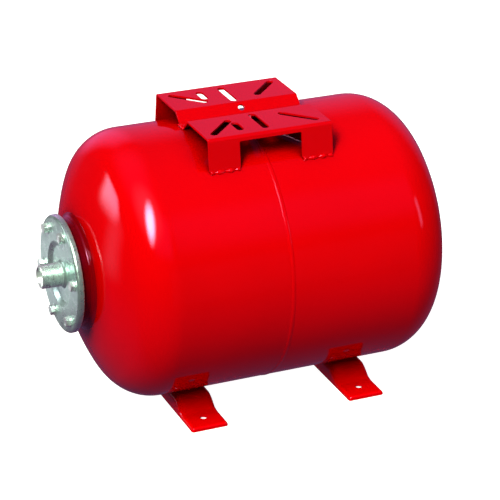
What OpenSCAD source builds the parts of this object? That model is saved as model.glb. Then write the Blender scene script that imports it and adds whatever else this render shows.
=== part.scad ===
// Horizontal membrane expansion vessel with a pump bracket, two saddle feet,
// a bolted counter-flange with a male water connection, and an air charging valve.
// Row frame: millimetres, +Z up, X along the vessel axis, the water connection
// points to -X. Origin: floor level, centre of the four foot holes.

/* [Vessel] */
// outside diameter of the vessel
vessel_d = 370; // [340:1:400]
// height of the vessel axis above the floor
axis_z = 203; // [200:0.5:215]
// sheet thickness of the two half shells
shell_t = 1.5; // [1:0.1:3]
// x where the front dome meets the cylinder
tangent_front = -172; // [-190:1:-160]
// x where the rear dome meets the cylinder
tangent_rear = 163; // [150:1:200]
// crown radius of the domes
crown_r = 320; // [300:1:360]
// knuckle radius of the domes
knuckle_r = 64; // [50:1:80]
// x of the girth seam between the half shells
seam_x = -18; // [-30:1:0]
// width of the girth weld bead
seam_w = 6; // [4:0.5:12]
// height of the girth weld bead
seam_h = 0.8; // [0.5:0.1:2]

/* [Water connection] */
// front face of the counter-flange
flange_x = -282; // [-286:0.5:-280]
// outside radius of the counter-flange
flange_r = 81; // [78:0.5:84]
// sheet thickness of the counter-flange
flange_t = 3; // [2:0.5:4]
// depth of the rolled rim
rim_depth = 9; // [8:0.5:12]
// outside radius of the rolled edge
rim_bend = 6; // [4:0.5:7]
// radius where the dished centre starts
dish_r = 46; // [44:0.5:47]
// radius of the flat bottom of the dish
dish_floor_r = 38; // [34:0.5:40]
// depth of the dish
dish_depth = 5; // [3:0.5:6]
// outside radius of the neck ring
neck_r = 75; // [73:0.5:76]
// sheet thickness of the neck ring
neck_t = 3; // [2:0.5:3.5]
// inside radius of the neck opening
neck_open_r = 51; // [50:0.5:53]
// pitch radius of the flange bolts
bolt_pitch_r = 66.5; // [65:0.5:67]
// number of flange bolts
bolt_count = 6; // [4:1:8]
// angle of the first flange bolt from the level line
bolt_phase = 50; // [0:1:59]
// flange bolt thread diameter
bolt_d = 8; // [6:1:8]
// across flats of the bolt head
bolt_af = 13; // [10:0.5:13]
// height of the bolt head
bolt_head_h = 5.3; // [4:0.1:6]
// length of the bolt shank
bolt_len = 14; // [12:1:16]
// outside diameter of the water nipple, thread size G1
nipple_d = 33.2; // [26:0.1:34]
// bore diameter of the water nipple
nipple_bore_d = 25.4; // [18:0.1:27]
// x of the nipple's mouth
nipple_x = -309; // [-320:0.5:-300]

/* [Pump bracket] */
// centre of the bracket along the vessel
bracket_x = -14; // [-25:0.5:0]
// length of the bracket along the vessel
bracket_len = 178; // [160:1:200]
// top face above the vessel axis
bracket_top = 201; // [198:0.5:206]
// sheet thickness of the bracket
bracket_t = 3; // [2:0.5:4]
// half width of the channel between the platforms
channel_half = 21.5; // [20:0.5:26]
// half width of the channel floor on the crown
channel_floor = 9; // [7:0.5:12]
// half width over both platforms
bracket_half_w = 95; // [90:0.5:100]
// outward lean of the legs in degrees
leg_lean = 7; // [3:0.5:10]
// width of each leg along the vessel
leg_w = 44.5; // [30:0.5:55]
// depth of the skirt above the cut-out
skirt_depth = 8; // [7:0.5:14]
// width of the clamping slots
slot_w = 10; // [7:0.5:11]
// hole in the channel wall
web_hole_d = 9; // [6:0.5:9]

/* [Feet] */
// distance of each foot from the origin along X
foot_x = 117.5; // [105:0.5:125]
// width of each foot
foot_w = 53; // [45:0.5:60]
// half length of each foot
foot_half = 136.5; // [130:0.5:142]
// y of the foot holes
foot_hole_y = 111; // [108:0.5:118]
// foot hole diameter
foot_hole_d = 10; // [7:0.5:13]
// sheet thickness of the feet
foot_t = 3; // [2:0.5:4]

/* [Air valve] */
// reach of the valve stem beyond its collar
stem_reach = 13; // [12:0.5:15]
// travel of the valve core pin
pin_travel = 1.2; // [0.8:0.1:1.4]

/* [Hidden] */
$fn = 96;
vessel_r = vessel_d / 2;
bracket_z = axis_z + bracket_top;
red = [0.83, 0.02, 0.03];
zinc = [0.72, 0.76, 0.74];
brass = [0.78, 0.62, 0.32];
black = [0.06, 0.06, 0.065];

// dome geometry: a crown circle on the axis and a knuckle circle tangent inside it
knuckle_y = vessel_r - knuckle_r;
dome_half = asin(knuckle_y / (crown_r - knuckle_r));
dome_h = crown_r - cos(dome_half) * (crown_r - knuckle_r);
crown_front = tangent_front - dome_h + crown_r;
crown_rear = tangent_rear + dome_h - crown_r;
rear_apex = tangent_rear + dome_h;
lip_t = 2;                              // rubber lip gripped between flange and ring
neck_face = flange_x + flange_t + lip_t;
shank_r = nipple_d / 2 - 0.3;           // plain shank of the nipple through the flange

// revolve a profile drawn as [x, r] about the vessel axis
module about_axis(a = 360, from = 0) {
    translate([0, 0, axis_z]) rotate([0, 90, 0]) rotate([0, 0, from])
        rotate_extrude(angle = a, $fn = 180) rotate([0, 0, 90]) mirror([0, 1]) children();
}

// copies round the vessel axis at the flange bolts' places, +Z of each along -X
module at_bolts(x) {
    for (i = [0:bolt_count - 1]) translate([x, 0, axis_z])
        rotate([bolt_phase + i * 360 / bolt_count, 0, 0]) translate([0, bolt_pitch_r, 0])
            rotate([0, -90, 0]) children();
}

// solid half vessel from the seam to one dome, s = -1 front, s = 1 rear
module half_profile(s, inset) {
    tx = s < 0 ? tangent_front : tangent_rear;
    cx = s < 0 ? crown_front : crown_rear;
    knuckle = [tx, knuckle_y];
    ray = [s * cos(dome_half), sin(dome_half)];
    // crown
    intersection() {
        translate([cx, 0]) circle(crown_r - inset, $fn = 720);
        polygon([[tx, 0], [tx + s * 200, 0], knuckle + 3 * knuckle_r * ray, knuckle]);
    }
    // knuckle
    intersection() {
        translate(knuckle) circle(knuckle_r - inset, $fn = 360);
        polygon([knuckle, knuckle + [0, 200], knuckle + [s * 200, 200], knuckle + 3 * knuckle_r * ray]);
    }
    // cylinder
    translate([min(tx, seam_x), 0]) square([abs(tx - seam_x), vessel_r - inset]);
}
module half_shell(s, opening) {
    color(red) about_axis() difference() {
        half_profile(s, 0);
        half_profile(s, shell_t);
        translate([-500, -1]) square([1000, opening + 1]);
    }
}
module shell_front() { half_shell(-1, neck_r - 7); }
module shell_rear() { half_shell(1, 9); }

// low weld bead, a segment of a circle on the cylinder
module girth_weld() {
    bead_r = (seam_w * seam_w / 4 + seam_h * seam_h) / (2 * seam_h);
    color(red) about_axis() intersection() {
        translate([seam_x, vessel_r + seam_h - bead_r]) circle(bead_r);
        translate([seam_x - seam_w, vessel_r]) square([2 * seam_w, 3]);
    }
}

// pressed cup ring welded on the dome, carries the nuts and the bladder's lip
module neck_ring() {
    color(red) difference() {
        about_axis() difference() {
            union() {
                translate([neck_face, neck_open_r]) square([neck_t, neck_r - neck_open_r - 3]);
                translate([neck_face + 3, neck_r - neck_t]) square([40, neck_t]);
                translate([neck_face + 3, neck_r - 3]) intersection() {
                    circle(3);
                    translate([-3, 0]) square([3, 3]);
                }
            }
            translate([crown_front, 0]) circle(crown_r, $fn = 720);
        }
        at_bolts(neck_face + neck_t + 1) cylinder(d = bolt_d + 0.6, h = neck_t + 2);
    }
}
module neck_weld() {
    color(red) about_axis() difference() {
        translate([-262, neck_r]) polygon([[-3, 0], [8, 0], [8, 7], [5, 6.5]]);
        translate([crown_front, 0]) circle(crown_r, $fn = 720);
    }
}
// blind weld nuts behind the ring, closed so that the gas side stays tight
module weld_nuts() {
    color(zinc) at_bolts(neck_face + neck_t + 10) difference() {
        cylinder(r = 5.4, h = 10);
        translate([0, 0, 1.5]) cylinder(d = bolt_d + 0.1, h = 9);
    }
}

module counter_flange() {
    t = flange_t;
    bend = [flange_x + rim_bend, flange_r - rim_bend];
    color(zinc) difference() {
        union() {
            // flat annulus and dished centre
            about_axis() polygon([[flange_x, dish_r], [flange_x, bend[1]], [flange_x + t, bend[1]],
                [flange_x + t, dish_r], [flange_x + t + dish_depth, dish_floor_r],
                [flange_x + t + dish_depth, shank_r], [flange_x + dish_depth, shank_r],
                [flange_x + dish_depth, dish_floor_r]]);
            // rolled edge
            about_axis() translate(bend) intersection() {
                difference() {
                    circle(rim_bend);
                    circle(rim_bend - t);
                }
                translate([-rim_bend, 0]) square(rim_bend);
            }
            // rim
            about_axis() translate(bend + [0, rim_bend - t]) square([rim_depth - rim_bend, t]);
        }
        at_bolts(flange_x + t + 1) cylinder(d = bolt_d + 0.8, h = t + 2);
    }
}
module water_nipple() {
    inner = flange_x + dish_depth + flange_t;
    root = flange_x + dish_depth - 4.5;
    color(zinc) about_axis()
        polygon([[nipple_x, nipple_bore_d / 2 + 0.8], [nipple_x, nipple_d / 2 - 1.5],
                 [nipple_x + 1.5, nipple_d / 2], [root, nipple_d / 2], [root, shank_r],
                 [inner, shank_r], [inner, nipple_bore_d / 2], [nipple_x + 0.8, nipple_bore_d / 2]]);
}
module nipple_weld() {
    color(zinc) about_axis() translate([flange_x + dish_depth, shank_r])
        polygon([[0, 0], [-3, 0], [-0.8, 0.8], [0, 3]]);
}
module flange_bolts() {
    washer_t = 1.6;
    color(zinc) at_bolts(flange_x - washer_t) {
        difference() {
            cylinder(d = bolt_af / cos(30), h = bolt_head_h, $fn = 6);
            translate([0, 0, bolt_head_h]) difference() {
                cylinder(r = bolt_af, h = 4, center = true);
                translate([0, 0, -2.1]) cylinder(r1 = bolt_af * 0.5 + 3, r2 = bolt_af * 0.5 - 1, h = 4.2);
            }
        }
        translate([0, 0, -bolt_len - washer_t]) cylinder(d = bolt_d, h = bolt_len + washer_t);
    }
}
module flange_washers() {
    color(zinc) at_bolts(flange_x) difference() {
        cylinder(r = 8, h = 1.6);
        translate([0, 0, -1]) cylinder(d = bolt_d + 0.4, h = 4);
    }
}

// rubber bladder: lip gripped between flange and ring, thin neck, balloon body
module bladder_body(inset, r) {
    shoulder_r = 105;
    shoulder_y = 45;
    for (x = [-138, 120]) translate([x, shoulder_y]) circle(shoulder_r - inset, $fn = 180);
    translate([-138, 0]) square([258, shoulder_y + shoulder_r - inset]);
    translate([120, 0]) square([shoulder_r - inset, shoulder_y]);
    translate([flange_x + flange_t - inset, 0]) square([60, r]);
}
module bladder() {
    wall = 2;
    nr = neck_open_r - 0.5;
    color(black) about_axis() difference() {
        union() {
            bladder_body(0, nr);
            translate([flange_x + flange_t, 0]) square([lip_t, 60]);
        }
        bladder_body(wall, nr - wall);
        translate([-400, -300]) square([800, 300]);
    }
}

// cross-section of a bent sheet: a strip of thickness t about a chain of points, mitred at the corners
function unit(v) = v / norm(v);
function across(p, i) = let (d = unit(p[i + 1] - p[i])) [-d[1], d[0]];
function beside(p, i, s) = let (a = across(p, max(i - 1, 0)), b = across(p, min(i, len(p) - 2)), n = unit(a + b))
    p[i] + s * n / (n * a);
module strip(p, t) {
    polygon(concat([for (i = [0:len(p) - 1]) beside(p, i, t / 2)],
                   [for (i = [len(p) - 1:-1:0]) beside(p, i, -t / 2)]));
}
// points of an arc of radius r about c, from angle a to b
function arc(c, r, a, b, n = 4) = [for (i = [0:n]) c + r * [cos(a + (b - a) * i / n), sin(a + (b - a) * i / n)]];

module bracket_profile() {
    t = bracket_t;
    top = bracket_top - t / 2;
    edge = bracket_half_w - t / 2;
    low = top - 60;
    bend = 3;
    half = concat([[channel_floor, vessel_r + 2 + t / 2]],
                  [[channel_half - 1.4, top - 1.1], [channel_half + 1, top]],
                  arc([edge - bend, top - bend], bend, 90, leg_lean),
                  [[edge + 60 * tan(leg_lean), low]]);
    last = len(half) - 1;
    strip(concat([for (i = [last:-1:0]) [-half[i][0], half[i][1]]], half), t);
}
module along_x(len) {
    translate([-len / 2, 0, axis_z]) rotate([90, 0, 90]) linear_extrude(len) children();
}
// round-ended slot cutter between two points of the platform
module slot(a, b) {
    d = b - a;
    r = slot_w / 2;
    translate([0, 0, bracket_z - bracket_t - 2]) {
        for (p = [a, b]) translate(p) cylinder(r = r, h = bracket_t + 4);
        translate(a) rotate([0, 0, atan2(d[1], d[0])]) translate([0, -r, 0])
            cube([norm(d), slot_w, bracket_t + 4]);
    }
}
module platform_slots() {
    r = slot_w / 2;
    slot([0, 27 + r], [0, 82 - r]);                  // transverse, full width
    slot([-34, 48 + r], [-34, 77 - r]);              // transverse, short
    for (s = [-1, 1]) slot([s * 39, 41], [s * 73, 76.5]); // diagonals to the corners
}
module pump_bracket() {
    cut_w = bracket_len - 2 * leg_w;
    color(red) translate([bracket_x, 0, 0]) difference() {
        along_x(bracket_len) bracket_profile();
        // skirt cut-outs between the legs
        for (s = [-1, 1]) translate([-cut_w / 2, s > 0 ? 84 : -184, bracket_z - skirt_depth - 80])
            cube([cut_w, 100, 80]);
        for (s = [0, 1]) mirror([0, s, 0]) platform_slots();
        for (s = [-1, 1]) translate([4, s * 15.5, axis_z + vessel_r + 10.5]) rotate([s * 45, 0, 0])
            cylinder(d = web_hole_d, h = 16, center = true);
        translate([-300, 0, axis_z]) rotate([0, 90, 0]) cylinder(r = vessel_r, h = 600, $fn = 360);
        translate([-300, -300, axis_z - 200]) cube([600, 600, 300]);
    }
}
// stitch beads at the legs and along the channel floor
module bracket_welds() {
    lx = bracket_len / 2 - leg_w / 2;
    ang = acos((bracket_half_w + 5.8) / vessel_r);
    color(red) difference() {
        union() {
            for (s = [-1, 1], k = [-1, 1]) translate([bracket_x + k * lx - leg_w / 2 + 1, 0, axis_z])
                rotate([s * (ang - 90), 0, 0]) translate([0, 0, vessel_r + 0.4]) rotate([0, 90, 0])
                    cylinder(r = 2.6, h = leg_w - 2);
            for (k = [-1, 1]) translate([bracket_x + k * (bracket_len / 2), 0, axis_z + vessel_r + 0.8])
                rotate([90, 0, 0]) cylinder(r = 2.4, h = 16, center = true);
        }
        translate([-300, 0, axis_z]) rotate([0, 90, 0]) cylinder(r = vessel_r, h = 600, $fn = 360);
        translate([bracket_x, 0, 0]) along_x(bracket_len) bracket_profile();
    }
}

// top line of a foot over y: saddle under the vessel, level shoulder, S-bend to the tab
saddle_y = 44;
shoulder_y = 66;
toe_y = 101;
function saddle_top(y) = axis_z - sqrt(vessel_r * vessel_r - y * y);
crest = saddle_top(saddle_y) + 0.4;
function foot_top(y) = y < saddle_y ? saddle_top(y)
    : y < shoulder_y ? crest
    : y < toe_y ? foot_t + (crest - foot_t) * (0.5 + 0.5 * cos(180 * (y - shoulder_y) / (toe_y - shoulder_y)))
    : foot_t;
foot_ys = [for (y = [0:4:saddle_y - 4]) y, saddle_y - 0.01, saddle_y + 3,
           for (i = [0:10]) shoulder_y + (toe_y - shoulder_y) * i / 10, foot_half];
module foot_outline(drop) {
    top = [for (y = foot_ys) [y, foot_top(y) - drop]];
    all = concat([for (i = [len(top) - 1:-1:1]) [-top[i][0], top[i][1]]], top);
    polygon(concat(all, [[foot_half, -1], [-foot_half, -1]]));
}
module foot(x) {
    color(red) translate([x, 0, 0]) difference() {
        intersection() {
            translate([-foot_w / 2, 0, 0]) rotate([90, 0, 90]) linear_extrude(foot_w) foot_outline(0);
            translate([-foot_w, -foot_half, 0]) cube([2 * foot_w, 2 * foot_half, 100]);
        }
        // hollow of the channel, open at the bottom
        intersection() {
            translate([-foot_w / 2 + foot_t, 0, 0]) rotate([90, 0, 90])
                linear_extrude(foot_w - 2 * foot_t) foot_outline(foot_t);
            translate([-foot_w, -toe_y + 1, -5]) cube([2 * foot_w, 2 * toe_y - 2, 100]);
        }
        for (s = [-1, 1]) translate([0, s * foot_hole_y, -5]) cylinder(d = foot_hole_d, h = 20);
        translate([-100, 0, axis_z]) rotate([0, 90, 0]) cylinder(r = vessel_r, h = 200, $fn = 360);
    }
}
module foot_front() { foot(-foot_x); }
module foot_rear() { foot(foot_x); }
// fillet beads along both edges of each saddle
module foot_welds() {
    arc_deg = 24;
    color(red) for (k = [-1, 1], s = [-1, 1]) translate([k * foot_x + s * foot_w / 2, 0, 0])
        about_axis(arc_deg, -arc_deg / 2) polygon([[0, vessel_r], [0, vessel_r + 3], [s * 3, vessel_r]]);
}

// air valve at the centre of the rear dome
boss_face = rear_apex + 4;
module valve_boss() {
    color(zinc) about_axis() translate([boss_face - 14, 5.2]) square([14, 3.8]);
}
module boss_weld() {
    color(red) about_axis()
        polygon([[crown_rear + sqrt(crown_r * crown_r - 81) + 0.01, 9], [rear_apex + 2.5, 9],
                 [crown_rear + sqrt(crown_r * crown_r - 144) + 0.01, 12]]);
}
stem_face = boss_face + 1;
stem_end = stem_face + 3 + stem_reach;
module valve_stem() {
    color(brass) {
        difference() {
            translate([stem_face, 0, axis_z]) rotate([0, 90, 0]) cylinder(d = 13 / cos(30), h = 3, $fn = 6);
            translate([stem_face - 1, 0, axis_z]) rotate([0, 90, 0]) cylinder(r = 3, h = 6);
        }
        about_axis() {
            translate([stem_face - 13, 2.2]) square([13, 3]);
            translate([stem_face - 0.1, 2.65]) square([3.2, 2]);
            translate([stem_face + 3, 2.65]) square([stem_end - stem_face - 3, 1.2]);
        }
    }
}
module stem_gasket() {
    color(black) about_axis() translate([boss_face, 5.3]) square([1, 2.4]);
}
// core barrel inside the stem; the pin runs in it and is held shut by the spring
core_x = stem_end - 11;
module valve_core() {
    color(brass) about_axis() difference() {
        translate([core_x, 0.84]) square([9.5, 1.8]);
        translate([core_x + 4, 0]) square([6, 1.95]);
    }
}
module core_pin() {
    color(brass) about_axis() {
        translate([core_x - 4, 0]) square([14.4, 0.75]);
        translate([core_x + 8, 0]) square([1, 1.7]);
        translate([core_x - 4, 0]) square([1, 1.9]);
    }
}
module core_seal() {
    color(black) about_axis() translate([core_x - 3, 0.76]) square([2.9, 1.1]);
}
module core_spring() {
    color(zinc) about_axis() for (i = [0:5]) translate([core_x + 4.3 + i * 0.66, 1.3]) circle(0.22, $fn = 24);
}
module valve_cap() {
    cap_r = 6.2;
    color(black) about_axis() difference() {
        translate([stem_face + 3.4, 0]) square([stem_reach + 2.2, cap_r]);
        translate([stem_face + 3, -1]) square([stem_reach + 0.9, 5.2]);
    }
}
module cap_seal() {
    color(black) about_axis() translate([stem_end + 0.1, 2.2]) square([0.6, 1.8]);
}

shell_front();
shell_rear();
girth_weld();
neck_ring();
neck_weld();
weld_nuts();
counter_flange();
water_nipple();
nipple_weld();
flange_bolts();
flange_washers();
bladder();
pump_bracket();
bracket_welds();
foot_front();
foot_rear();
foot_welds();
valve_boss();
boss_weld();
valve_stem();
stem_gasket();
valve_core();
core_spring();
core_seal();
core_pin();
valve_cap();
cap_seal();
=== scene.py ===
"""Looks of a horizontal membrane expansion vessel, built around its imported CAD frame.

Lengths in the mesh code are millimetres in the row frame; they become metres when a mesh
is made. X is the vessel axis (water connection towards -X) and +Z is up. A profile that
is turned about that axis is a list of (x, r) points.
"""

from math import acos, asin, atan2, ceil, cos, hypot, pi, radians, sin, sqrt, tan

import bmesh
import bpy
from mathutils import Matrix, Vector, noise


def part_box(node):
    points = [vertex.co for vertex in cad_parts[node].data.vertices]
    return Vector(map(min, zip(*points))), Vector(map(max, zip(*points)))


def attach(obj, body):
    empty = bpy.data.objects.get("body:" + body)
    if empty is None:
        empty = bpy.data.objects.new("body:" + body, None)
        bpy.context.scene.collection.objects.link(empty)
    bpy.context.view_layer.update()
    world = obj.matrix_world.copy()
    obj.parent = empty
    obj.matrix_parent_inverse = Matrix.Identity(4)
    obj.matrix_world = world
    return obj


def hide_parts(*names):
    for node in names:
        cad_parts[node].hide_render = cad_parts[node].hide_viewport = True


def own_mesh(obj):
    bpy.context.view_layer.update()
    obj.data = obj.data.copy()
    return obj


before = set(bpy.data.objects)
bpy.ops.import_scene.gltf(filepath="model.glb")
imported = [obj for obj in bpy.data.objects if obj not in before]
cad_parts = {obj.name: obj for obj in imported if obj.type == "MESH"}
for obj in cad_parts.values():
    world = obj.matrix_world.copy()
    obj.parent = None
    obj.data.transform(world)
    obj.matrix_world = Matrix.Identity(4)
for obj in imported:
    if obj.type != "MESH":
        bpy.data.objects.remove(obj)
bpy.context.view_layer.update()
MM, TO_MM = 0.001, 1000.0


def new_object(name, data):
    ob = bpy.data.objects.new(name, data)
    bpy.context.scene.collection.objects.link(ob)
    return ob


# ---------------------------------------------------------------- camera
CAMERA_PLACE = (-1.1264, -2.6145, 1.4823)
YAW, PITCH, ROLL = radians(23.27), radians(-24.42), radians(0.32)

cam = new_object("camera", bpy.data.cameras.new("camera"))
bpy.context.scene.camera = cam
cam.data.lens, cam.data.sensor_width = 161.7, 36.0
cam.data.clip_start, cam.data.clip_end = 0.05, 60.0
forward = Vector((sin(YAW) * cos(PITCH), cos(YAW) * cos(PITCH), sin(PITCH)))
level = Vector((cos(YAW), -sin(YAW), 0.0))
upward = level.cross(forward)
right = cos(ROLL) * level + sin(ROLL) * upward
above = -sin(ROLL) * level + cos(ROLL) * upward
turn = Matrix((right, above, -forward)).transposed().to_4x4()
cam.matrix_world = Matrix.Translation(CAMERA_PLACE) @ turn

# ---------------------------------------------------------------- main sizes, mm
shell_lo, shell_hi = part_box("shell_front")
AXIS_Z = (shell_lo.z + shell_hi.z) * TO_MM / 2
VESSEL_R = (shell_hi.z - shell_lo.z) * TO_MM / 2
SEAM_X = shell_hi.x * TO_MM
NECK_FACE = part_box("neck_ring")[0].x * TO_MM
FLANGE_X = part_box("counter_flange")[0].x * TO_MM
NIPPLE_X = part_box("water_nipple")[0].x * TO_MM
STEM_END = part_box("valve_stem")[1].x * TO_MM

# shells: where each dome leaves the cylinder, the dome's two radii, its openings
FRONT_TANGENT, REAR_TANGENT = -172.0, 163.0
CROWN_R, KNUCKLE_R, SHELL_T = 320.0, 64.0, 1.5
WATER_OPENING_R, VALVE_OPENING_R = 68.0, 9.0
KNUCKLE_Y = VESSEL_R - KNUCKLE_R
DOME_HALF = asin(KNUCKLE_Y / (CROWN_R - KNUCKLE_R))
DOME_H = CROWN_R - cos(DOME_HALF) * (CROWN_R - KNUCKLE_R)
CROWN_FRONT = FRONT_TANGENT - DOME_H + CROWN_R
CROWN_REAR = REAR_TANGENT + DOME_H - CROWN_R
GIRTH_BEAD_HALF, GIRTH_BEAD_H = 2.8, 0.6

# neck ring and counter-flange
NECK_R, NECK_BORE_R, NECK_T, NECK_HOLE_R, NECK_TOE_R = 75.0, 51.0, 3.0, 4.3, 81.0
FLANGE_R, FLANGE_T, FLANGE_RIM, FLANGE_HOLE_R = 81.0, 3.0, 9.0, 4.4
RECESS_R, RECESS_FLOOR_R, RECESS_DEPTH, NIPPLE_SEAT_R = 46.0, 38.0, 5.0, 16.35

# water connection
THREAD_R, BORE_R, THREAD_PITCH, THREAD_DEPTH = 16.3, 12.7, 2.309, 1.479
NIPPLE_END, THREAD_ROOT = FLANGE_X + 8.0, FLANGE_X + 1.0

# flange bolts and washers
BOLTS, BOLT_PITCH_R, BOLT_PHASE = 6, 66.5, 50.0
HEX_FLATS, HEX_HEIGHT = 13.0, 5.3
SHANK_R, SHANK_DEEP, SHANK_PITCH, SHANK_DEPTH = 3.95, 14.0, 1.25, 0.6
WASHER_R, WASHER_HOLE_R, WASHER_T = 8.0, 4.2, 1.6

# pump bracket
BRACKET_X, BRACKET_LEN, BRACKET_TOP, SHEET = -14.0, 178.0, 201.0, 3.0
PLATFORM_EDGE, LEG_LEAN, LEG_W, SKIRT = 95.0, radians(7.0), 44.5, 8.0
CHANNEL_HALF, CHANNEL_TOP_HALF = 9.0, 21.6
SLOT_R, WEB_HOLE_X, WEB_HOLE_R = 5.0, 4.0, 4.5
SLOTS = (((0, 32), (0, 77)), ((-34, 53), (-34, 72)),
         ((-39, 41), (-73, 76.5)), ((39, 41), (73, 76.5)))

# feet
FOOT_X, FOOT_W, FOOT_HALF, FOOT_T = 117.5, 53.0, 136.5, 3.0
HOLE_Y, HOLE_R = 111.0, 5.0
SADDLE_Y, SHOULDER_Y, TOE_Y = 44.0, 66.0, 101.0
TAB_TOP = 6.2   # the tab is a shallow tray, its edges turned down to the floor
FOOT_BEND, FOOT_CORNER, FOOT_END_R = 9.0, 3.5, 3.5
FOOT_WELD_HALF = radians(13.2)

# bladder: torus ends, with their centres at a radius, joined by a cylinder
BLADDER_R, BLADDER_CENTRE_R, BLADDER_T = 105.0, 45.0, 2.0
BLADDER_FRONT, BLADDER_REAR, BLADDER_NECK_END = -138.0, 120.0, -262.0
BLADDER_NECK_R, BLADDER_LIP_R = 50.5, 60.0

# air valve
STEM_FACE = STEM_END - 16.0
STEM_R, STEM_PITCH, STEM_DEPTH, STEM_BORE_R = 3.85, 0.794, 0.42, 2.66
SPRING_TURNS, SPRING_WIRE_R = 5.6, 0.22


# ---------------------------------------------------------------- node materials
def node_material(name):
    material = bpy.data.materials.new(name)
    material.use_nodes = True
    tree = material.node_tree
    return material, tree, tree.nodes["Principled BSDF"]


def add(tree, kind, **props):
    node = tree.nodes.new(kind)
    for key, value in props.items():
        setattr(node, key, value)
    return node


def noise_of(tree, coords, scale, detail=3.0, rough=0.5):
    node = add(tree, "ShaderNodeTexNoise")
    node.inputs["Scale"].default_value = scale
    node.inputs["Detail"].default_value = detail
    node.inputs["Roughness"].default_value = rough
    tree.links.new(coords, node.inputs["Vector"])
    return node.outputs["Fac"]


def ramp(tree, factor, low, high):
    """Colour ramp between two (position, colour) stops."""
    node = add(tree, "ShaderNodeValToRGB")
    for stop, (position, colour) in zip(node.color_ramp.elements, (low, high)):
        stop.position = position
        stop.color = (*colour, 1.0)
    tree.links.new(factor, node.inputs["Fac"])
    return node.outputs["Color"]


def spread(tree, factor, low, high):
    """Maps the middle of a noise's range to low..high."""
    node = add(tree, "ShaderNodeMapRange")
    for i, value in enumerate((0.3, 0.7, low, high)):
        node.inputs[i + 1].default_value = value
    tree.links.new(factor, node.inputs[0])
    return node.outputs[0]


def bump(tree, bsdf, height, strength, distance, below=None):
    node = add(tree, "ShaderNodeBump")
    node.inputs["Strength"].default_value = strength
    node.inputs["Distance"].default_value = distance
    tree.links.new(height, node.inputs["Height"])
    if below is not None:
        tree.links.new(below, node.inputs["Normal"])
    tree.links.new(node.outputs[0], bsdf.inputs["Normal"])
    return node.outputs[0]


def make_enamel(name, rough=0.07, peel=0.10, tone=1.0, crevice_shade=(0.42, 0.22), clear=0.95,
                shine=0.5):
    """Gloss stoved enamel: saturated red, faint orange peel, slight tone drift, painted shade in
    hollows.

    crevice_shade is (openness, brightness) where the painted shade is darkest; the red is full at
    clear. tone scales the red: below 1 it paints shade, above 1 it paints light.
    """
    material, tree, bsdf = node_material(name)
    obj = add(tree, "ShaderNodeTexCoord").outputs["Object"]
    red = ramp(tree, noise_of(tree, obj, 6.0, 2.0),
               (0.3, (0.56 * tone, 0.0, 0.0002)), (0.7, (0.61 * tone, 0.0, 0.0004)))
    # painted shade: the red is darkened where ambient occlusion finds creases and hollows
    openness = add(tree, "ShaderNodeAmbientOcclusion", samples=8)
    openness.inputs["Distance"].default_value = 0.045
    shade = ramp(tree, openness.outputs["AO"], (crevice_shade[0], (crevice_shade[1],) * 3), (clear, (1, 1, 1)))
    base = add(tree, "ShaderNodeMix", data_type="RGBA", blend_type="MULTIPLY")
    base.inputs["Factor"].default_value = 1.0
    tree.links.new(red, base.inputs[6])
    tree.links.new(shade, base.inputs[7])
    tree.links.new(base.outputs[2], bsdf.inputs["Base Color"])
    tree.links.new(spread(tree, noise_of(tree, obj, 40.0, 4.0), rough * 0.85, rough * 1.25),
                   bsdf.inputs["Roughness"])
    bsdf.inputs["Specular IOR Level"].default_value = shine
    bsdf.inputs["Specular Tint"].default_value = (1.0, 0.42, 0.90, 1.0)
    waves = bump(tree, bsdf, noise_of(tree, obj, 14.0, 1.0), 0.05, 0.004)
    bump(tree, bsdf, noise_of(tree, obj, 420.0, 2.0, 0.4), peel, 0.0002, waves)
    return material


def make_metal(name, base, dark, rough, metallic=1.0):
    """Plated or machined metal: cloudy tone, uneven gloss, fine grain."""
    material, tree, bsdf = node_material(name)
    obj = add(tree, "ShaderNodeTexCoord").outputs["Object"]
    bsdf.inputs["Metallic"].default_value = metallic
    tree.links.new(ramp(tree, noise_of(tree, obj, 45.0, 4.0, 0.6), (0.32, dark), (0.68, base)),
                   bsdf.inputs["Base Color"])
    tree.links.new(spread(tree, noise_of(tree, obj, 130.0, 4.0, 0.6), rough * 0.75, rough * 1.35),
                   bsdf.inputs["Roughness"])
    bump(tree, bsdf, noise_of(tree, obj, 300.0, 3.0, 0.6), 0.12, 0.0003)
    return material


def make_soft(name, base, light, rough, scale, depth):
    """Moulded rubber or plastic: fine even grain with a slightly chalky tone."""
    material, tree, bsdf = node_material(name)
    obj = add(tree, "ShaderNodeTexCoord").outputs["Object"]
    tree.links.new(ramp(tree, noise_of(tree, obj, 70.0, 4.0, 0.6), (0.35, base), (0.75, light)),
                   bsdf.inputs["Base Color"])
    tree.links.new(spread(tree, noise_of(tree, obj, 200.0, 2.0), rough * 0.9, rough * 1.1),
                   bsdf.inputs["Roughness"])
    bump(tree, bsdf, noise_of(tree, obj, scale, 4.0, 0.65), depth, 0.0002)
    return material


# every enamel below carries the painted shade in hollows that make_enamel adds
ENAMEL = make_enamel("red enamel")
ENAMEL_WELD = make_enamel("red enamel on weld", 0.08, 0.35, crevice_shade=(0.1, 0.5), clear=0.6)
# red at about a third of its tone with deep darkening in hollows: painted shade standing in for the
# flange's shadow on the neck
ENAMEL_PAINTED_SHADE_NECK = make_enamel("red enamel with painted shade on neck", 0.09, 0.12, tone=0.36, crevice_shade=(0.42, 0.10))
# slightly dimmed red with strong, wide darkening in hollows: painted shade under the skirt and in
# the bracket's corners
ENAMEL_PAINTED_SHADE_SHEET = make_enamel("red enamel with painted shade on sheet", 0.08, 0.10, tone=0.95, crevice_shade=(0.10, 0.30),
                           clear=0.70)
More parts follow.
